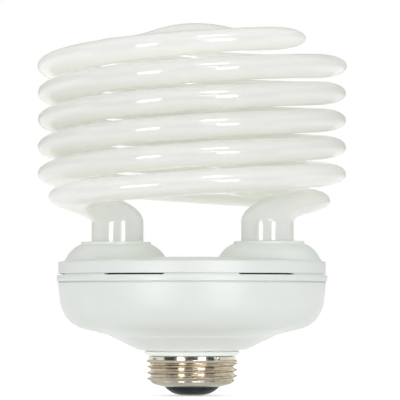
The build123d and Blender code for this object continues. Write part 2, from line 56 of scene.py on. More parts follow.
def reach(node):
    """Lowest height, highest height and half width of a CAD node, in millimetres."""
    low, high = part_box(node)
    return low.z / MM, high.z / MM, (high.x - low.x) / 2 / MM


# Heights and radii that the frame gives
insulator_low_z, _, _ = reach("cap_insulator")
_, _, contact_radius = reach("centre_contact")
mouth_z, cap_top_z, crest_radius = reach("screw_shell")
_, rim_z, rim_radius = reach("lower_housing")
ring_low_z, ring_high_z, ring_radius = reach("clip_ring")
cover_low_z, boss_top_z, cover_radius = reach("top_cover")
leg_foot_z, _, _ = reach("spiral_tube")

# End contact and insulator
CONTACT_HEIGHT = 0.45
CONTACT_ROUND = 0.3
INSULATOR_FIT = 0.05
INSULATOR_SEAT_GAP = 0.1
INSULATOR_LEDGE = 1.0
INSULATOR_DEPTH = 1.0
INSULATOR_LAND = 0.5
INSULATOR_BULGE = 6.5

# Screw shell
MOUTH_RADIUS = 7.9
MOUTH_ROUND = 0.12
SHOULDER_RADIUS = 11.0
SHOULDER_RISE = 0.8
SHOULDER_ROUND = 1.2
TAPER_HEIGHT = 1.4
TAPER_ROUND = 1.0
THREAD_HEIGHT = 5.1
THREAD_PITCH = 1.73
THREAD_DEPTH = 1.25
THREAD_SHARPNESS = 0.75
THREAD_CREST_Z = 7.4
THREAD_LEAD_IN = 1.0
THREAD_FULL_RISE = 0.2
THREAD_RUN_OUT = 0.7
BAND_RADIUS = 12.8
BAND_ROUND = 0.3
COLLAR_GAP = 0.3
CRIMP_COUNT = 4
CRIMP_AZIMUTH = -146.5
CRIMP_DEPTH = 0.35
CRIMP_SPREAD = 0.5
SHELL_WALL = 0.35
SHELL_BORE = 11.7

# Housing
SPIGOT_RADIUS = 11.5
SPIGOT_DEPTH = 6.0
COLLAR_FOOT_RADIUS = 13.3
COLLAR_RADIUS = 14.0
COLLAR_HEIGHT = 1.45
COLLAR_GROOVE = 0.3
COLLAR_GROOVE_DEPTH = 0.6
COLLAR_ROUND = 0.1
CONE_FOOT_RADIUS = 15.7
CONE_STEP = 0.1
CONE_RADIUS = 24.2
CONE_HEIGHT = 4.3
CONE_ROUND = 0.12
CONE_INNER_ROUND = 1.0
CONE_RINGS = 4
CONE_RING_STEP = 0.12
BOWL_RADIUS = 37.2
BOWL_RISE = 3.25
BOWL_ROUND = 8.8
BOWL_INNER_ROUND = 5.0
HOUSING_WALL = 1.5
MOULDED_EDGE = 0.22

# Ring between housing and cover
TONGUE_BORE = 35.4
TONGUE_RADIUS = 36.7
RING_HEIGHT = 2.2
RING_EDGE = 0.15
RING_BEVEL = 0.3 * RING_EDGE
SEAM = 0.3
SEAM_DEPTH = 0.7
LOWER_SEAM_DEPTH = 0.6
SLOT_COUNT = 6
SLOT_ANGLE = 28.4
SLOT_AZIMUTH = 4.1
SLOT_EXTRA_HEIGHT = 0.12
SLOT_END_ANGLE = 0.5
SLOT_BACK_WALL = 0.2
SLOT_SHADE_REACH = 0.3
TAB_ANGLE = 2.4
TAB_END_ANGLE = 0.25
HAIR = 0.01  # Smallest step, which keeps points apart that would otherwise meet

# Cover and bosses
COVER_HEIGHT = 4.9
COVER_CAMBER = 1.4
CAMBER_ROUND = 500.0
COVER_ROUND = 0.45
COVER_INNER_ROUND = 0.4
COVER_WALL = 1.5
BOSS_OUTSET = 0.45
BOSS_RADIUS = 14.3
BOSS_LIP_RADIUS = 10.1
BOSS_LIP_HEIGHT = 0.7
BOSS_DOME = 7.75
BOSS_HOLE_GAP = 0.12
BOSS_FOOT_SINK = 1.6
BOSS_FOOT_FLARE = 1.0

# Glass tube
TUBE_WIDTH = 15.0
TUBE_HEIGHT = 6.8
TURN_GAP = 0.98
COIL_RADIUS = 36.9
COIL_START = 80.0
COIL_SWEEP = 775.0
LEG_OFFSET = 21.6
LEG_SETBACK = 6.0
LEG_RISE = 5.6
ELBOW_RISE = 6.15
ELBOW_LIFT = 16.9
ELBOW_REACH = 50.5
CROWN_AZIMUTH = -72.0
CROWN_DRAW_IN = 2.1
CROWN_RISE = 6.9
CROWN_REACH = 39.0
CROWN_CLIMB = 10.65
BRIDGE_AZIMUTH = -32.0
BRIDGE_HALF_SPAN = 19.0
BRIDGE_FOOT_RISE = 1.8
BRIDGE_CLIMB = 6.84
BRIDGE_ARCH = 2.65
BRIDGE_BEND = 22.0
BRIDGE_LEAD = 11.0
ARCH_FOOT = 9.5
ARCH_CROWN = 7.5
BRIDGE_PRESS = 0.12
PRESSED_REACH = 30.0
ROUND_REACH = 85.0
LEVEL_SHARE_OF_BEND = 0.05

# Where the tube gets painted shade, an olive tint on its undersides and on the coil's side that faces the axis,
# standing for light bounced inside the coil: from none to full
PAINTED_SHADE_UNDER = 0.87, 0.89  # Downward share of the normal
PAINTED_SHADE_INWARD = 0.3, 0.6  # Share of the normal towards the axis
PAINTED_SHADE_RADIUS = 24, 28

# Fineness of the meshes
ROUND_STEPS = 7
MOULDED_STEPS = 12
DOME_STEPS = 24
LATHE_SEGMENTS = 224
SHELL_SEGMENTS = 360
RING_SEGMENTS = 1440
TUBE_STATIONS = 1600
TUBE_SEGMENTS = 48
PATH_SAMPLES = 400
COIL_SAMPLES = 1600
THREAD_STEP = 0.08
MERGE = 1e-7
CREASE_ANGLE = 50.0


def unit(vectors):
    """Each vector of an array divided by its length; a vector of no length stays as it is."""
    length = np.linalg.norm(vectors, axis=-1, keepdims=True)
    return vectors / np.maximum(length, 1e-12)


def smooth_step(value, low, high):
    """0 below low, 1 above high, and 3t^2 - 2t^3 between them."""
    t = np.clip((value - low) / (high - low), 0, 1)
    return t * t * (3 - 2 * t)


def rounded(corners, steps=ROUND_STEPS):
    """Outline through corners (radius, height, rounding), each replaced by a circular arc of its rounding.

    An arc is the rational parabola whose middle weight is the cosine of half the turn, which is exactly
    a circle. It starts and ends the rounding times the tangent of half the turn away from the corner.
    """
    corners = np.asarray(corners, float)
    corners, rounding = corners[:, :2], corners[:, 2:]
    before = unit(np.diff(corners, axis=0, prepend=corners[:1]))
    after = unit(np.diff(corners, axis=0, append=corners[-1:]))
    turn = np.sum(before * after, axis=1, keepdims=True)
    cut = rounding * np.sqrt((1 - turn) / (1 + turn))
    weight = np.sqrt((1 + turn) / 2)[:, None]
    start = (corners - cut * before)[:, None]
    finish = (corners + cut * after)[:, None]
    t = np.linspace(0, 1, steps)[None, :, None]
    shares = (1 - t) ** 2, 2 * t * (1 - t) * weight, t ** 2
    arcs = (shares[0] * start + shares[1] * corners[:, None] + shares[2] * finish) / sum(shares)
    return arcs.reshape(-1, 2)


def domed(start, finish, radius):
    """Circular arc of a radius from start to finish, bulging to the left of the way between them.

    Its centre lies square to the right of the chord's middle, as far away as the root of the radius squared
    less half the chord squared.
    """
    start, finish = np.array(start), np.array(finish)
    chord = finish - start
    half = np.linalg.norm(chord) / 2
    across = np.array((chord[1], -chord[0])) / (2 * half)
    centre = (start + finish) / 2 + across * np.sqrt(radius ** 2 - half ** 2)
    first = np.arctan2(*(start - centre)[::-1])
    last = np.arctan2(*(finish - centre)[::-1])
    sweep = np.linspace(first, last, DOME_STEPS)[:, None]
    return centre + radius * np.hstack((np.cos(sweep), np.sin(sweep)))


def distances(line):
    """How far along a line each of its points lies."""
    return np.concatenate(([0], np.cumsum(np.linalg.norm(np.diff(line, axis=0), axis=1))))


def even(line, count):
    """The same line with a count of points evenly spaced along it, and how far along they lie."""
    along = distances(line)
    stations = np.linspace(0, along[-1], count)
    return np.stack([np.interp(stations, along, axis) for axis in line.T], axis=-1), stations


def circle(segments):
    """Angles of points evenly spaced round a circle, in radians."""
    return np.linspace(0, TURN, segments, endpoint=False)


def turned(radius, height, angle, centre=(0.0, 0.0)):
    """Points round a vertical axis: x = r cos a, y = r sin a, z = height."""
    x = centre[0] + radius * np.cos(angle)
    y = centre[1] + radius * np.sin(angle)
    return np.stack(np.broadcast_arrays(x, y, height), axis=-1)


def revolved(outline, centre=(0.0, 0.0), segments=LATHE_SEGMENTS):
    """Outline (radius, height) carried round a vertical axis."""
    return turned(outline[:, :1], outline[:, 1:], circle(segments), centre)


def closed(outline):
    """The outline with its first point repeated at its end."""
    return np.concatenate((outline, outline[:1]))


def piece(name, grids, material, stands_for):
    """One object from grids of points (rows, columns, 3): four neighbours make a face, columns close into a
    loop, equal points become one, and faces point outwards. It rides on the lamp and stands for a CAD node."""
    points, faces, first = [], [], 0
    for grid in grids:
        rows, columns = grid.shape[:2]
        number = first + np.arange(rows * columns).reshape(rows, columns)
        beside = np.roll(number, -1, axis=1)
        quads = np.stack((number[:-1], beside[:-1], beside[1:], number[1:]), axis=-1)
        points.append(grid.reshape(-1, 3) * MM)
        faces.append(quads.reshape(-1, 4))
        first += rows * columns
    mesh = bpy.data.meshes.new(name)
    mesh.from_pydata(np.concatenate(points).tolist(), [], np.concatenate(faces).tolist())
    shell = bmesh.new()
    shell.from_mesh(mesh)
    bmesh.ops.remove_doubles(shell, verts=shell.verts, dist=MERGE)
    bmesh.ops.recalc_face_normals(shell, faces=shell.faces)
    shell.to_mesh(mesh)
    shell.free()
    mesh.polygons.foreach_set("use_smooth", np.ones(len(mesh.polygons), bool))
    mesh.set_sharp_from_angle(angle=radians(CREASE_ANGLE))
    mesh.materials.append(material)
    made = bpy.data.objects.new(name, mesh)
    bpy.context.scene.collection.objects.link(made)
    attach(made, "root")
    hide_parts(stands_for)
    return made


def places(mesh):
    """The mesh's points, in millimetres."""
    flat = np.empty(len(mesh.vertices) * 3)
    mesh.vertices.foreach_get("co", flat)
    return flat.reshape(-1, 3) / MM


def set_mark(mesh, name, share):
    """Keep a share from 0 to 1 at each point of the mesh, for its finish to read."""
    mesh.attributes.new(name, "FLOAT", "POINT").data.foreach_set("value", share.astype(np.float32))


# Materials

NOISE_LOW, NOISE_HIGH = 0.3, 0.7  # Between these lies nearly all that a noise gives
COATING_PASSES = 0.45  # Share of the light that goes through the tube's coating


def new_material(name, **sockets):
    """A material with constants set on its shader's own sockets."""
    made = bpy.data.materials.new(name)
    made.use_nodes = True
    shader = made.node_tree.nodes["Principled BSDF"]
    for socket, value in sockets.items():
        shader.inputs[socket.replace("_", " ")].default_value = value
    return made, made.node_tree, shader


def grain(tree, size, detail=3.0, stretch=(1, 1, 1)):
    """Noise whose cells are about a size in millimetres, longer along an axis with a larger stretch."""
    place = tree.nodes.new("ShaderNodeTexCoord")
    turn = tree.nodes.new("ShaderNodeMapping")
    turn.inputs["Scale"].default_value = [1 / (size * MM * s) for s in stretch]
    noise = tree.nodes.new("ShaderNodeTexNoise")
    noise.inputs["Scale"].default_value = 1.0
    noise.inputs["Detail"].default_value = detail
    tree.links.new(place.outputs["Object"], turn.inputs["Vector"])
    tree.links.new(turn.outputs["Vector"], noise.inputs["Vector"])
    return noise.outputs["Fac"]


def tint(tree, value, dark, light):
    """Colour that goes from dark to light with a noise value."""
    ramp = tree.nodes.new("ShaderNodeValToRGB")
    ramp.color_ramp.elements[0].position = NOISE_LOW
    ramp.color_ramp.elements[0].color = (*dark, 1)
    ramp.color_ramp.elements[1].position = NOISE_HIGH
    ramp.color_ramp.elements[1].color = (*light, 1)
    tree.links.new(value, ramp.inputs["Fac"])
    return ramp.outputs["Color"]


def spread(tree, value, low, high):
    """Number that goes from low to high with a noise value."""
    made = tree.nodes.new("ShaderNodeMapRange")
    made.inputs["From Min"].default_value = NOISE_LOW
    made.inputs["From Max"].default_value = NOISE_HIGH
    made.inputs["To Min"].default_value = low
    made.inputs["To Max"].default_value = high
    tree.links.new(value, made.inputs["Value"])
    return made.outputs["Result"]


def relief(tree, shader, value, height, strength, under=None):
    """Bump of a height in millimetres on the shader's normal, over another bump where one is given."""
    bump = tree.nodes.new("ShaderNodeBump")
    bump.inputs["Strength"].default_value = strength
    bump.inputs["Distance"].default_value = height * MM
    tree.links.new(value, bump.inputs["Height"])
    if under is not None:
        tree.links.new(under, bump.inputs["Normal"])
    tree.links.new(bump.outputs["Normal"], shader.inputs["Normal"])
    return bump.outputs["Normal"]


def marked(tree, mark, plain, colour):
    """The plain colour, changed to another colour where the mesh's own mark is set."""
    share = tree.nodes.new("ShaderNodeAttribute")
    share.attribute_name = mark
    mix = tree.nodes.new("ShaderNodeMix")
    mix.data_type = "RGBA"
    mix.inputs["B"].default_value = (*colour, 1)
    tree.links.new(share.outputs["Fac"], mix.inputs["Factor"])
    tree.links.new(plain, mix.inputs["A"])
    return mix.outputs["Result"]


def coated_glass():
    """Clear glass over a white coating that lets part of the light into the hollow tube, so that the tube
    glows evenly: cloudy off-white, a fine powder grain, a sharp gloss on top, and painted shade, an olive tint
    on the undersides and the side that faces the axis."""
    made, tree, shader = new_material(
        "coated_glass",
        Roughness=0.5,
        Specular_IOR_Level=0.2,
        Coat_Weight=1.0,
        Coat_Roughness=0.015,
        Coat_IOR=1.85,
        Coat_Tint=(0.985, 0.988, 0.975, 1),
    )
    cloud = grain(tree, size=9.0, detail=4.0)
    white = tint(tree, cloud, dark=(0.955, 0.957, 0.958), light=(0.967, 0.969, 0.97))
    # Painted shade: an olive tint where the mesh's mark is set, on the undersides and inner side of the coil
    tree.links.new(marked(tree, "coil_painted_shade", white, (0.955, 0.958, 0.885)), shader.inputs["Base Color"])
    wave = relief(tree, shader, grain(tree, size=6.0, detail=1.0), height=0.04, strength=0.3)
    relief(tree, shader, grain(tree, size=0.35, detail=2.0), height=0.004, strength=0.2, under=wave)
    through = tree.nodes.new("ShaderNodeBsdfTranslucent")
    through.inputs["Color"].default_value = (0.975, 0.977, 0.977, 1)
    blend = tree.nodes.new("ShaderNodeMixShader")
    blend.inputs["Fac"].default_value = COATING_PASSES
    tree.links.new(shader.outputs["BSDF"], blend.inputs[1])
    tree.links.new(through.outputs["BSDF"], blend.inputs[2])
    tree.links.new(blend.outputs["Shader"], tree.nodes["Material Output"].inputs["Surface"])
    return made


def moulded_plastic():
    """Off-white satin plastic: faint flow clouding and the fine even texture of a mould."""
    made, tree, shader = new_material("moulded_plastic")
    cloud = grain(tree, size=14.0)
    pale = tint(tree, cloud, dark=(0.785, 0.82, 0.792), light=(0.807, 0.84, 0.814))
    tree.links.new(pale, shader.inputs["Base Color"])
    tree.links.new(spread(tree, grain(tree, size=2.5), low=0.34, high=0.44), shader.inputs["Roughness"])
    relief(tree, shader, grain(tree, size=0.3, detail=2.0), height=0.012, strength=0.35)
    return made


def ring_plastic(plastic):
    """The moulded plastic with painted shade: near black where the mesh's mark is set, on the floors of the
    slots, for the dark inside that the real slots open to.
    """
    made = plastic.copy()
    made.name = "ring_plastic"
    tree = made.node_tree
    shader = tree.nodes["Principled BSDF"]
    pale = shader.inputs["Base Color"].links[0].from_socket
    # Painted shade: the slots' floors near black, where the mark 'open' is set
    tree.links.new(marked(tree, "open", pale, (0.012, 0.012, 0.011)), shader.inputs["Base Color"])
    return made


def nickel():
    """Bright plated sheet: warm grey metal with fine lines round it from rolling, and a faint tarnish."""
    made, tree, shader = new_material("nickel", Metallic=1.0)
    tarnish = grain(tree, size=3.0, detail=5.0)
    warm = tint(tree, tarnish, dark=(0.645, 0.585, 0.495), light=(0.785, 0.72, 0.62))
    tree.links.new(warm, shader.inputs["Base Color"])
    lines = grain(tree, size=0.12, stretch=(60, 60, 1))
    tree.links.new(spread(tree, lines, low=0.1, high=0.2), shader.inputs["Roughness"])
    relief(tree, shader, lines, height=0.004, strength=0.3)
    return made


def black_glass():
    """Fused black insulator: glossy, a little blue, with shallow flow marks."""
    made, tree, shader = new_material("black_glass", Specular_IOR_Level=0.12)
    flow = grain(tree, size=2.2)
    black = tint(tree, flow, dark=(0.008, 0.011, 0.014), light=(0.016, 0.022, 0.028))
    tree.links.new(black, shader.inputs["Base Color"])
    tree.links.new(spread(tree, grain(tree, size=0.8), low=0.16, high=0.28), shader.inputs["Roughness"])
    relief(tree, shader, flow, height=0.03, strength=0.3)
    return made


def inner_finish(name, dark, light, size, roughness, metallic=0.0, bump=0.02, stretch=(1, 1, 1)):
    """Finish of a piece inside the housing: two tones of noise, with a bump of the same grain."""
    made, tree, shader = new_material(name, Roughness=roughness, Metallic=metallic)
    cells = grain(tree, size, stretch=stretch)
    tree.links.new(tint(tree, cells, dark, light), shader.inputs["Base Color"])
    relief(tree, shader, cells, bump, strength=0.5)
    return made


WHITE_PLASTIC = moulded_plastic()

# By material slot: dark and light tone, size of the grain, roughness, and where it isn't plain also the share
# of metal, the height of the bump and the stretch of the grain
INNER_LOOKS = {
    "contact_metal": ((0.42, 0.39, 0.34), (0.66, 0.63, 0.58), 0.9, 0.3, 1.0, 0.01),
    "potting_cement": ((0.62, 0.60, 0.54), (0.76, 0.74, 0.68), 0.6, 0.85, 0.0, 0.05),
    "board_laminate": ((0.36, 0.24, 0.10), (0.46, 0.33, 0.16), 1.2, 0.6),
    "tinned_wire": ((0.55, 0.55, 0.54), (0.74, 0.74, 0.73), 0.4, 0.3, 1.0, 0.005),
    "lead_sleeve": ((0.44, 0.44, 0.43), (0.54, 0.54, 0.52), 0.8, 0.5),
    "capacitor_sleeve": ((0.012, 0.012, 0.02), (0.03, 0.03, 0.045), 1.5, 0.3),
    "ferrite": ((0.03, 0.03, 0.033), (0.06, 0.06, 0.065), 0.5, 0.7),
    "winding_wire": ((0.48, 0.20, 0.08), (0.72, 0.36, 0.17), 0.25, 0.28, 1.0, 0.1, (1, 30, 30)),
    "moulded_black": ((0.014, 0.014, 0.014), (0.028, 0.028, 0.028), 0.4, 0.55),
    "film_coating": ((0.38, 0.07, 0.03), (0.50, 0.12, 0.05), 1.5, 0.3),
    "resistor_body": ((0.42, 0.30, 0.17), (0.55, 0.42, 0.27), 0.7, 0.45),
}
INNER_FINISHES = {name: inner_finish(name, *look) for name, look in INNER_LOOKS.items()}


def dress_inner_pieces():
    """Give each CAD node that stays the finish of its material slot in the record."""
    for part in frame["record"]["subparts"]:
        finish = INNER_FINISHES.get(part["material_slot"])
        if finish is not None:
            mesh = frame["nodes"][part["node"]].data
            mesh.materials.clear()
            mesh.materials.append(finish)


# Shapes

def make_contact():
    """End contact: a flat disc with a rounded rim, turned about the axis, and a stem up into the insulator."""
    top = CONTACT_HEIGHT
    stem = contact_radius / 3
    outline = rounded([
        (0, 0, 0),
        (contact_radius, 0, CONTACT_ROUND),
        (contact_radius, top, CONTACT_ROUND / 4),
        (stem, top, 0),
        (stem, 2 * top, 0),
        (0, 2 * top, 0),
    ])
    finish = INNER_FINISHES["contact_metal"]
    piece("centre_contact_disc", [revolved(outline)], finish, "centre_contact")


def make_insulator():
    """Insulator: a shallow dome from the contact's seat out to the shell's mouth, turned about the axis."""
    seat = contact_radius + INSULATOR_SEAT_GAP
    seat_z = CONTACT_HEIGHT + INSULATOR_SEAT_GAP
    hole = seat - INSULATOR_LEDGE
    neck = MOUTH_RADIUS - INSULATOR_FIT
    back_z = mouth_z + INSULATOR_DEPTH
    dome = domed((neck, mouth_z), (seat + INSULATOR_LAND, insulator_low_z), INSULATOR_BULGE)
    back = [(seat, insulator_low_z), (seat, seat_z), (hole, seat_z), (hole, back_z), (neck, back_z)]
    outline = closed(np.concatenate((dome, back)))
    piece("insulator_dome", [revolved(outline)], black_glass(), "cap_insulator")


def thread_relief(height, angle, thread_z, band_z):
    """Depth below the crest: half a cosine wave, to a power that sharpens the crest, along a height that
    climbs one pitch a turn, right-handed. It fades out into the taper below and the plain band above."""
    phase = (height - THREAD_CREST_Z) / THREAD_PITCH - angle / TURN
    valley = (0.5 - 0.5 * np.cos(TURN * phase)) ** THREAD_SHARPNESS
    lead_in = smooth_step(height, thread_z - THREAD_LEAD_IN, thread_z + THREAD_FULL_RISE)
    run_out = 1 - smooth_step(height, band_z - THREAD_RUN_OUT, band_z)
    return THREAD_DEPTH * valley * (lead_in * run_out)


def crimp_relief(height, angle, crimp_z):
    """Depth of the punch marks that hold the band to the collar: a bell curve of the distance along the band
    from the nearest mark."""
    pitch = TURN / CRIMP_COUNT
    off = (angle - radians(CRIMP_AZIMUTH) + pitch / 2) % pitch - pitch / 2
    distance = np.hypot(off * BAND_RADIUS, height - crimp_z)
    return CRIMP_DEPTH * np.exp(-((distance / CRIMP_SPREAD) ** 2))


def make_screw_shell():
    """Screw shell: its outline turned about the axis, less the depth of thread and crimps in radius."""
    shoulder_z = mouth_z + SHOULDER_RISE
    thread_z = shoulder_z + TAPER_HEIGHT
    band_z = thread_z + THREAD_HEIGHT
    neck_z = band_z + crest_radius - BAND_RADIUS
    edge_z = cap_top_z - COLLAR_GAP
    outline = rounded([
        (MOUTH_RADIUS, mouth_z + SHELL_WALL, 0),
        (MOUTH_RADIUS, mouth_z, MOUTH_ROUND),
        (SHOULDER_RADIUS, shoulder_z, SHOULDER_ROUND),
        (crest_radius, thread_z, TAPER_ROUND),
        (crest_radius, band_z, BAND_ROUND),
        (BAND_RADIUS, neck_z, BAND_ROUND),
        (BAND_RADIUS, edge_z, 0),
    ])
    outline, _ = even(outline, int(distances(outline)[-1] / THREAD_STEP) + 1)
    radius, height = outline[:, :1], outline[:, 1:]
    angle = circle(SHELL_SEGMENTS)
    depth = thread_relief(height, angle, thread_z, band_z)
    depth = depth + crimp_relief(height, angle, (neck_z + cap_top_z) / 2)
    outside = turned(radius - depth, height, angle)
    bore = np.array([
        (BAND_RADIUS, edge_z),
        (SHELL_BORE, edge_z),
        (SHELL_BORE, thread_z),
        (SHOULDER_RADIUS - SHELL_WALL, shoulder_z + SHELL_WALL),
        (MOUTH_RADIUS, mouth_z + SHELL_WALL),
    ])
    inside = revolved(bore, segments=SHELL_SEGMENTS)
    piece("threaded_shell", [np.concatenate((outside, inside))], nickel(), "screw_shell")


def make_housing():
    """Lower housing: spigot, collar, groove, cone, bowl and rim, one rounded outline turned about the axis.
    Small steps in radius, evenly spaced up the cone, leave faint rings on it."""
    spigot_z = cap_top_z - SPIGOT_DEPTH
    bore = SPIGOT_RADIUS - HOUSING_WALL
    collar_z = cap_top_z + COLLAR_HEIGHT
    groove_radius = COLLAR_RADIUS - COLLAR_GROOVE_DEPTH
    cone_foot_z = collar_z + CONE_STEP
    cone_z = cone_foot_z + CONE_HEIGHT
    bowl_z = cone_z + BOWL_RISE
    rings = []
    for share in np.arange(1, CONE_RINGS + 1) / (CONE_RINGS + 1):
        radius = CONE_FOOT_RADIUS + share * (CONE_RADIUS - CONE_FOOT_RADIUS)
        height = cone_foot_z + share * CONE_HEIGHT
        rings += [(radius, height, 0), (radius + CONE_RING_STEP, height, 0)]
    outline = rounded(
        [
            (bore, spigot_z, 0),
            (SPIGOT_RADIUS, spigot_z, MOULDED_EDGE),
            (SPIGOT_RADIUS, cap_top_z, 0),
            (COLLAR_FOOT_RADIUS, cap_top_z, MOULDED_EDGE),
            (COLLAR_RADIUS, collar_z - COLLAR_GROOVE, COLLAR_ROUND),
            (groove_radius, collar_z - COLLAR_GROOVE, 0),
            (groove_radius, collar_z, 0),
            (CONE_FOOT_RADIUS, cone_foot_z, MOULDED_EDGE),
            *rings,
            (CONE_RADIUS, cone_z, CONE_ROUND),
            (BOWL_RADIUS, bowl_z, BOWL_ROUND),
            (rim_radius, rim_z, MOULDED_EDGE),
            (rim_radius - HOUSING_WALL, rim_z, MOULDED_EDGE),
            (BOWL_RADIUS - HOUSING_WALL, bowl_z + HOUSING_WALL, BOWL_INNER_ROUND),
            (CONE_RADIUS, cone_z + HOUSING_WALL, CONE_INNER_ROUND),
            (bore, collar_z + HOUSING_WALL, 0),
        ],
        MOULDED_STEPS,
    )
    piece("housing_bowl", [revolved(closed(outline))], WHITE_PLASTIC, "lower_housing")


def arc_mark(angle, half_angle, end_angle):
    """1 within half an angle of each slot's middle, 0 outside, with a smooth ramp at each end; degrees."""
    pitch = 360 / SLOT_COUNT
    off = np.abs((angle - SLOT_AZIMUTH + pitch / 2) % pitch - pitch / 2)
    return 1 - smooth_step(off, half_angle - end_angle, half_angle)


def make_ring():
    """Clip ring: a banded outline that changes round the axis. In a slot its upper groove is taller and goes
    right in, and at a slot's middle a tab fills the lower seam."""
    angle = np.linspace(0, 360, RING_SEGMENTS, endpoint=False)
    slot = arc_mark(angle, SLOT_ANGLE / 2, SLOT_END_ANGLE)
    tab = arc_mark(angle, TAB_ANGLE / 2, TAB_END_ANGLE)
    under_z = rim_z + SEAM
    top_z = under_z + RING_HEIGHT
    seam_floor = rim_radius - LOWER_SEAM_DEPTH
    tab_drop = tab * (SEAM - 3 * HAIR)
    groove_floor = ring_radius - SEAM_DEPTH
    groove_in = groove_floor - slot * (groove_floor - TONGUE_BORE - SLOT_BACK_WALL)
    groove_z = top_z - SEAM - slot * SLOT_EXTRA_HEIGHT
    corners = [
        (TONGUE_BORE, ring_low_z),
        (TONGUE_RADIUS, ring_low_z),
        (TONGUE_RADIUS, rim_z - 5 * HAIR),
        (seam_floor, rim_z - 4 * HAIR),
        (seam_floor, under_z - 2 * HAIR - tab_drop),
        (rim_radius - 5 * HAIR, under_z - HAIR - tab_drop),
        (rim_radius - 3 * HAIR, under_z),
        (ring_radius - RING_EDGE, under_z),
        (ring_radius - RING_BEVEL, under_z + RING_BEVEL),
        (ring_radius, under_z + RING_EDGE),
        (ring_radius, groove_z - RING_EDGE),
        (ring_radius - RING_BEVEL, groove_z - RING_BEVEL),
        (ring_radius - RING_EDGE, groove_z),
        (groove_in, groove_z),
        (groove_in - HAIR, top_z - 2 * HAIR),
        (groove_floor, top_z - HAIR),
        (TONGUE_RADIUS, top_z),
        (TONGUE_RADIUS, ring_high_z),
        (TONGUE_BORE, ring_high_z),
        (TONGUE_BORE, ring_low_z),
    ]
    radius, height = (
        np.stack([np.broadcast_to(corner[part], RING_SEGMENTS) for corner in corners]) for part in (0, 1)
    )
    grid = turned(radius, height, np.radians(angle))
    ring = piece("clip_band", [grid], ring_plastic(WHITE_PLASTIC), "clip_ring")
    mark_slot_painted_shade(ring.data, groove_floor, top_z)


def mark_slot_painted_shade(mesh, groove_floor, top_z):
    """Mark each point of the ring that lies deep in a slot, for painted shade in its finish."""
    x, y, z = places(mesh).T
    radius = np.hypot(x, y)
    in_groove = (z > top_z - SEAM - SLOT_EXTRA_HEIGHT - 5 * HAIR) & (z < top_z)
    on_floor = radius < groove_floor + SLOT_SHADE_REACH
    past_floor = radius < groove_floor - SLOT_SHADE_REACH
    in_slot = arc_mark(np.degrees(np.arctan2(y, x)), SLOT_ANGLE / 2, SLOT_END_ANGLE) > 0.5
    # The mark 'open' carries painted shade onto the slots' floors
    set_mark(mesh, "open", in_groove & on_floor & (past_floor | in_slot))


def make_cover():
    """Top cover: a shallow lid with a cambered top turned about the axis, and two bosses. A boss is a bore
    turned about the leg's axis, joined to a lip, dome and flared foot turned about an axis a little further
    out."""
    top_z = cover_low_z + COVER_HEIGHT
    edge_z = top_z - COVER_CAMBER
    inner_radius = cover_radius - COVER_WALL
    lid = rounded(
        [
            (0, top_z, 0),
            (cover_radius / 2, top_z, CAMBER_ROUND),
            (cover_radius, edge_z, COVER_ROUND),
            (cover_radius, cover_low_z, MOULDED_EDGE),
            (inner_radius, cover_low_z, MOULDED_EDGE),
            (inner_radius, edge_z - COVER_WALL, COVER_INNER_ROUND),
            (0, top_z - COVER_WALL, 0),
        ],
        MOULDED_STEPS,
    )
    piece("cover_lid", [revolved(lid)], WHITE_PLASTIC, "top_cover")
    lip_z = boss_top_z - BOSS_LIP_HEIGHT
    foot_z = top_z - BOSS_FOOT_SINK
    hole = TUBE_WIDTH / 2 + BOSS_HOLE_GAP
    lip_middle = (hole + BOSS_LIP_RADIUS) / 2
    bore = rounded([(hole, foot_z, 0), (hole, boss_top_z, MOULDED_EDGE), (lip_middle, boss_top_z, 0)])
    lip = rounded([
        (lip_middle, boss_top_z, 0),
        (BOSS_LIP_RADIUS, boss_top_z, MOULDED_EDGE),
        (BOSS_LIP_RADIUS, lip_z, 0),
    ])
    dome = domed((BOSS_LIP_RADIUS, lip_z), (BOSS_RADIUS, top_z), BOSS_DOME)
    outside = np.concatenate((lip, dome, [(BOSS_RADIUS + BOSS_FOOT_FLARE, foot_z)]))
    bosses = []
    for side in (1, -1):
        leg = side * LEG_OFFSET, -side * LEG_SETBACK
        boss = side * (LEG_OFFSET + BOSS_OUTSET), -side * LEG_SETBACK
        rows = revolved(bore, leg), revolved(outside, boss), revolved(bore[:1], leg)
        bosses.append(np.concatenate(rows))
    piece("leg_bosses", bosses, WHITE_PLASTIC, "top_cover")


def bezier(start, leaving, finish, arriving):
    """Cubic curve (1-t)^3 a + 3(1-t)^2 t b + 3(1-t) t^2 c + t^3 d from the start a to the finish d. It leaves
    towards b, which is a and the leaving vector, and arrives from c, which is d less the arriving vector."""
    t = np.linspace(0, 1, PATH_SAMPLES)[:, None]
    lead, trail = start + leaving, finish - arriving
    ends = (1 - t) ** 3 * start + t ** 3 * finish
    return ends + 3 * (1 - t) ** 2 * t * lead + 3 * (1 - t) * t ** 2 * trail


def climbing(azimuth, slope):
    """Direction square to the radius at an azimuth, anticlockwise, rising by a slope."""
    turn = np.radians(azimuth)
    return unit(np.array((-np.sin(turn), np.cos(turn), slope)))


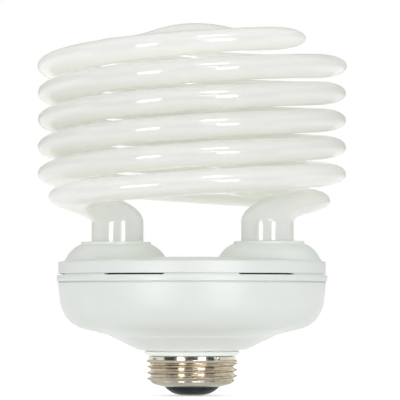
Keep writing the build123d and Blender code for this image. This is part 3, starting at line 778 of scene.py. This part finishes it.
def arm_path(flatness):
    """Centre line of one arm: leg, elbow, helix, crown, bend and half of the bridge. Its heights are divided
    by the flatness of the tube's oval, so that a round section can be carried along it."""
    def around(radius, azimuth, height):
        return turned(radius, height / flatness, np.radians(azimuth))

    rise = 2 * (TUBE_HEIGHT + TURN_GAP)
    slope = rise / flatness / (TURN * COIL_RADIUS)
    leg_top_z = boss_top_z + LEG_RISE
    foot = np.array((LEG_OFFSET, -LEG_SETBACK, leg_foot_z / flatness))
    top = np.array((LEG_OFFSET, -LEG_SETBACK, leg_top_z / flatness))
    up = np.array((0, 0, ELBOW_LIFT))

    coil_z = leg_top_z + ELBOW_RISE
    coil_end = COIL_START + COIL_SWEEP
    azimuth = np.linspace(COIL_START, coil_end, COIL_SAMPLES)
    helix = around(COIL_RADIUS, azimuth, coil_z + rise * azimuth / 360)
    start_way = climbing(COIL_START, slope)
    end_way = climbing(coil_end, slope)

    crown_z = coil_z + rise * coil_end / 360 + CROWN_RISE
    crown = around(COIL_RADIUS - CROWN_DRAW_IN, CROWN_AZIMUTH, crown_z)
    crown_way = climbing(CROWN_AZIMUTH, np.tan(np.radians(CROWN_CLIMB)))
    bridge_z = crown_z + BRIDGE_FOOT_RISE
    bridge = around(BRIDGE_HALF_SPAN, BRIDGE_AZIMUTH, bridge_z)
    bridge_way = climbing(BRIDGE_AZIMUTH + 90, np.tan(np.radians(BRIDGE_CLIMB)))
    peak = np.array((0, 0, (bridge_z + BRIDGE_ARCH) / flatness))
    peak_way = climbing(BRIDGE_AZIMUTH + 90, 0)

    stretches = [
        foot + (top - foot) * np.linspace(0, 1, PATH_SAMPLES)[:, None],
        bezier(top, up, helix[0], start_way * ELBOW_REACH),
        helix,
        bezier(helix[-1], end_way * CROWN_REACH, crown, crown_way * CROWN_REACH),
        bezier(crown, crown_way * BRIDGE_BEND, bridge, bridge_way * BRIDGE_LEAD),
        bezier(bridge, bridge_way * ARCH_FOOT, peak, peak_way * ARCH_CROWN),
    ]
    return np.concatenate([stretch[:-1] for stretch in stretches] + [peak[None]])


def make_tube():
    """Glass tube: a circle carried along the centre line of both arms, then its heights pressed to the oval.

    The second arm is the first one turned half a turn about the axis. Across the line, the circle's first
    axis is the upright one, -d tz + z h, where d is the line's level heading, h its level share and tz its
    climb. On the upright legs, which have no heading, it takes the heading of the nearest bend. Round the
    bridge's middle it is shortened, by a share that fades out along the bends.
    """
    flatness = TUBE_HEIGHT / TUBE_WIDTH
    arm = arm_path(flatness)
    other_arm = arm[-2::-1] * (-1, -1, 1)
    line, stations = even(np.concatenate((arm, other_arm)), TUBE_STATIONS)
    way = unit(np.gradient(line, axis=0))
    level_share = np.linalg.norm(way[:, :2], axis=1, keepdims=True)
    bent = np.flatnonzero(level_share[:, 0] > LEVEL_SHARE_OF_BEND)
    nearest = bent[np.clip(np.searchsorted(bent, np.arange(len(line))), 0, len(bent) - 1)]
    heading = unit(way[nearest, :2])
    upright = np.hstack((-heading * way[:, 2:], level_share))
    upright = unit(upright - way * np.sum(upright * way, axis=1, keepdims=True))
    sideways = np.cross(way, upright)
    pressed = 1 - smooth_step(np.abs(stations - stations[-1] / 2), PRESSED_REACH, ROUND_REACH)
    upright = upright * (1 - BRIDGE_PRESS * pressed[:, None])
    angle = circle(TUBE_SEGMENTS)[None, :, None]
    across = np.cos(angle) * upright[:, None] + np.sin(angle) * sideways[:, None]
    skin = line[:, None] + TUBE_WIDTH / 2 * across
    ends = np.broadcast_to(line[[0, -1], None], (2, TUBE_SEGMENTS, 3))
    skin = np.concatenate((ends[:1], skin, ends[1:])) * (1, 1, flatness)
    tube = piece("spiral_glass", [skin], coated_glass(), "spiral_tube")
    # Painted shade on the undersides and inner side of the coil
    mark_coil_painted_shade(tube.data)


def mark_coil_painted_shade(mesh):
    """Mark the tube's undersides, and the side of the coil that faces the axis, from the mesh's normals, for
    painted shade: an olive tint where light bounced inside the coil falls.
    """
    place = places(mesh)
    normal = np.empty(len(mesh.vertices) * 3)
    mesh.vertex_normals.foreach_get("vector", normal)
    normal = normal.reshape(-1, 3)
    radius = np.hypot(place[:, 0], place[:, 1])
    inward = -np.sum(unit(place[:, :2]) * normal[:, :2], axis=1)
    under = smooth_step(-normal[:, 2], *PAINTED_SHADE_UNDER)
    inner = smooth_step(inward, *PAINTED_SHADE_INWARD) * smooth_step(radius, *PAINTED_SHADE_RADIUS)
    set_mark(mesh, "coil_painted_shade", np.maximum(under, inner))


# Stage, in metres

CAMERA_PLACE = (0.0, -0.900, 0.0274)
CAMERA_AIM = (0.0023, 0.0, 0.0563)
CAMERA_LENS = 281.0
CAMERA_FAR = 100.0
LIGHT_BOUNCES = 16
SEEN_RAYS = "Is Camera Ray", "Is Glossy Ray", "Is Transmission Ray"
WORLD_SEEN = 1.0
WORLD_LIGHT = 0.68
WHITE = (1, 1, 1, 1)
BLACK = (0, 0, 0, 1)

FLOOR_SIZE = 30.0
FLOOR_TONE = (0.75, 0.75, 0.74, 1)
FLOOR_ROUGHNESS = 0.9
FLOOR_SEEN = 0.55
FLOOR_LIGHT = 0.06

# Name, azimuth from the camera's side and elevation, distance, size, power, and whether it only shows in
# reflections; the others only light surfaces
LAMP_TARGET = (0, 0, 0.07)
LAMPS = [
    ("front_fill", 0, 4, 1.2, (1.4, 0.2), 1.5, False),
    ("low_fill", 0, -11, 0.35, (0.5, 0.005), 0.21, False),
    ("left_fill", -75, 14, 1.2, (0.5, 0.3), 1.5, False),
    ("right_fill", 75, 14, 1.2, (0.5, 0.3), 1.6, False),
    ("back_fill", 180, 12, 1.2, (0.9, 0.3), 2.0, False),
    ("under_fill", 0, -89.9, 0.069, (0.05, 0.05), 0.0055, False),
    ("top_fill", 180, 76, 1.2, (0.6, 0.5), 1.5, False),
    ("high_softbox", 22, 66, 1.1, (0.26, 0.30), 3.2, True),
]

# Name, first and last azimuth from the camera's side, radius and height of both long edges, and tone: the dark
# side of the studio and its floor, bright strips that run along that floor and up, and grey flags beside and
# above the white backdrop, which draw the edges of the glass
BRIGHT_STRIP = (9, 9, 9)
DARK_SIDE = (0.05, 0.05, 0.05)
NEAR_FLOOR = (0.6, 0.6, 0.57)
GREY_FLAG = (0.5, 0.5, 0.44)
SCREEN = 1.4
STRIP = 1.1
CARD_LIFT = 0.0003
STRIP_LIFT = 0.0006
CARD_STEPS = 40
CARDS = [
    ("dark_side", (-76, 66), (SCREEN, 0.0), (SCREEN, 0.75), DARK_SIDE),
    ("dark_floor", (-76, 66), (0.09, CARD_LIFT), (SCREEN, CARD_LIFT), DARK_SIDE),
    ("near_floor", (-180, 180), (0.001, CARD_LIFT), (0.03, CARD_LIFT), NEAR_FLOOR),
    ("left_strip_floor", (-37, -21), (0.14, STRIP_LIFT), (STRIP, STRIP_LIFT), BRIGHT_STRIP),
    ("left_strip", (-37, -21), (STRIP, STRIP_LIFT), (STRIP, 0.10), BRIGHT_STRIP),
    ("right_strip_floor", (18, 34), (0.14, STRIP_LIFT), (STRIP, STRIP_LIFT), BRIGHT_STRIP),
    ("right_strip", (18, 34), (STRIP, STRIP_LIFT), (STRIP, 0.10), BRIGHT_STRIP),
    ("upper_strip", (2, 19), (STRIP, 0.20), (STRIP, 0.38), BRIGHT_STRIP),
    ("left_flag", (-174, -76), (SCREEN, 0.0), (SCREEN, 1.2), GREY_FLAG),
    ("right_flag", (66, 174), (SCREEN, 0.0), (SCREEN, 1.2), GREY_FLAG),
    ("high_flag", (174, 186), (SCREEN, 0.3), (SCREEN, 1.2), GREY_FLAG),
]


def stand(thing):
    """Put an object into the scene."""
    bpy.context.scene.collection.objects.link(thing)


def aim(thing, target):
    """Turn a camera or lamp from where it stands towards a point."""
    way = thing.location - Vector(target)
    thing.rotation_mode = "QUATERNION"
    thing.rotation_quaternion = way.to_track_quat("Z", "Y")


def make_camera():
    """The photograph's view: level with the bowl, looking slightly up."""
    lens = bpy.data.cameras.new("camera")
    lens.lens = CAMERA_LENS
    lens.clip_end = CAMERA_FAR
    camera = bpy.data.objects.new("camera", lens)
    camera.location = CAMERA_PLACE
    stand(camera)
    aim(camera, CAMERA_AIM)
    bpy.context.scene.camera = camera


def seen_or_lighting(tree, seen, lighting):
    """One number for rays that see a surface, straight or in a reflection, and another for rays that light."""
    path = tree.nodes.new("ShaderNodeLightPath")
    share = path.outputs[SEEN_RAYS[0]]
    for ray in SEEN_RAYS[1:]:
        larger = tree.nodes.new("ShaderNodeMath")
        larger.operation = "MAXIMUM"
        tree.links.new(share, larger.inputs[0])
        tree.links.new(path.outputs[ray], larger.inputs[1])
        share = larger.outputs[0]
    strength = tree.nodes.new("ShaderNodeMapRange")
    strength.inputs["To Min"].default_value = lighting
    strength.inputs["To Max"].default_value = seen
    tree.links.new(share, strength.inputs["Value"])
    return strength.outputs["Result"]


def make_world():
    """White surroundings: seen at full white, and lighting the lamp at a plain level."""
    world = bpy.data.worlds.new("studio")
    world.use_nodes = True
    bpy.context.scene.world = world
    tree = world.node_tree
    background = tree.nodes["Background"]
    background.inputs["Color"].default_value = WHITE
    tree.links.new(seen_or_lighting(tree, WORLD_SEEN, WORLD_LIGHT), background.inputs["Strength"])


def make_floor():
    """Pale floor: white to the eye, with part of its light left to the lamps so that it keeps the shadow."""
    half = FLOOR_SIZE / 2
    mesh = bpy.data.meshes.new("floor")
    corners = [(-half, -half, 0), (half, -half, 0), (half, half, 0), (-half, half, 0)]
    mesh.from_pydata(corners, [], [(0, 1, 2, 3)])
    floor = bpy.data.objects.new("floor", mesh)
    stand(floor)
    made, tree, shader = new_material(
        "floor",
        Base_Color=FLOOR_TONE,
        Roughness=FLOOR_ROUGHNESS,
        Specular_IOR_Level=0.0,
        Emission_Color=WHITE,
    )
    tree.links.new(seen_or_lighting(tree, FLOOR_SEEN, FLOOR_LIGHT), shader.inputs["Emission Strength"])
    mesh.materials.append(made)


def add_lamp(name, azimuth, elevation, distance, size, power, mirrored):
    """Rectangular lamp at an azimuth from the camera's side and an elevation, facing the coil. A mirrored one
    only shows in reflections, and any other only lights surfaces."""
    light = bpy.data.lights.new(name, "AREA")
    light.shape = "RECTANGLE"
    light.size, light.size_y = size
    light.energy = power
    lamp = bpy.data.objects.new(name, light)
    turn, lift = radians(azimuth), radians(elevation)
    lamp.location = (
        distance * np.sin(turn) * np.cos(lift),
        -distance * np.cos(turn) * np.cos(lift),
        LAMP_TARGET[2] + distance * np.sin(lift),
    )
    lamp.visible_camera = False
    lamp.visible_diffuse = not mirrored
    lamp.visible_glossy = mirrored
    stand(lamp)
    aim(lamp, LAMP_TARGET)


def add_card(name, span, start, finish, tone):
    """Sheet that only reflections show: a strip between two circles about the lamp's axis, each given by its
    radius and height, over a span of azimuths from the camera's side."""
    azimuth = np.radians(np.linspace(*span, CARD_STEPS))
    ring = np.stack((np.sin(azimuth), -np.cos(azimuth), 0 * azimuth), axis=-1)
    rows = [ring * radius + (0, 0, height) for radius, height in (start, finish)]
    corner = np.arange(CARD_STEPS - 1)
    faces = np.stack((corner, corner + 1, corner + 1 + CARD_STEPS, corner + CARD_STEPS), axis=-1)
    mesh = bpy.data.meshes.new(name)
    mesh.from_pydata(np.concatenate(rows).tolist(), [], faces.tolist())
    made, _, _ = new_material(
        name,
        Base_Color=BLACK,
        Specular_IOR_Level=0.0,
        Emission_Color=(*tone, 1),
        Emission_Strength=1.0,
    )
    mesh.materials.append(made)
    card = bpy.data.objects.new(name, mesh)
    stand(card)
    card.visible_camera = False
    card.visible_diffuse = False
    card.visible_transmission = False
    card.visible_shadow = False


bpy.context.scene.view_settings.view_transform = "Standard"
bpy.context.scene.cycles.max_bounces = LIGHT_BOUNCES
bpy.context.scene.cycles.diffuse_bounces = LIGHT_BOUNCES

make_contact()
make_insulator()
make_screw_shell()
make_housing()
make_ring()
make_cover()
make_tube()
dress_inner_pieces()
make_world()
make_floor()
for row in LAMPS:
    add_lamp(*row)
for row in CARDS:
    add_card(*row)
make_camera()
